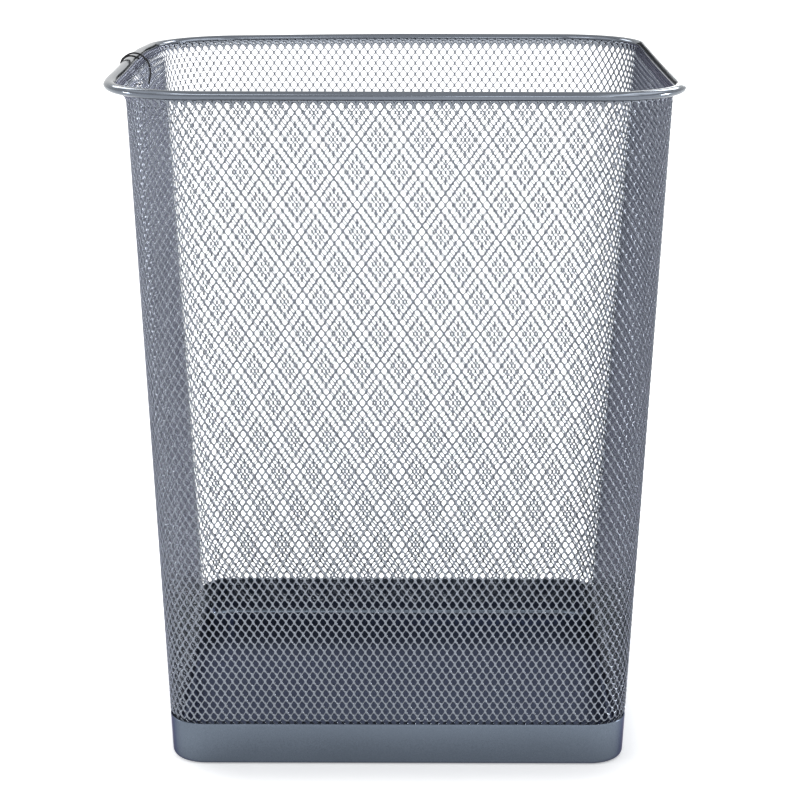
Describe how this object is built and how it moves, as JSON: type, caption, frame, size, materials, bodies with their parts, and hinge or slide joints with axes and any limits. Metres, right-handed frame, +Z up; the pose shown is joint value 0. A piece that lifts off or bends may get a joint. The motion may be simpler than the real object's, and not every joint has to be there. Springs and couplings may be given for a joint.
{
  "type": "mesh wastebasket",
  "caption": "Tapered square wastebasket of expanded steel mesh, with rounded corners, a rolled and flattened tubular rim and a drawn sheet-steel pan for its base.",
  "frame": {"origin": "middle of the pan's underside, on the surface the basket stands on", "axes": "+Z up, out of the basket's mouth; +X to the right and +Y to the back, square to the sides, seen from the front"},
  "size_m": [0.2893, 0.2836, 0.3528],
  "materials": {
    "pan_paint": "satin grey-blue powder paint with a fine metallic grain",
    "mesh_paint": "satin grey-blue powder paint on expanded steel",
    "rim_paint": "semi-gloss grey metallic paint",
    "loop_cord": "thin black cord"
  },
  "bodies": {
    "root": {"base_pan": "pan_paint", "mesh_wall": "mesh_paint", "rim_tube": "rim_paint", "tag_loop": "loop_cord"}
  },
  "joints": []
}
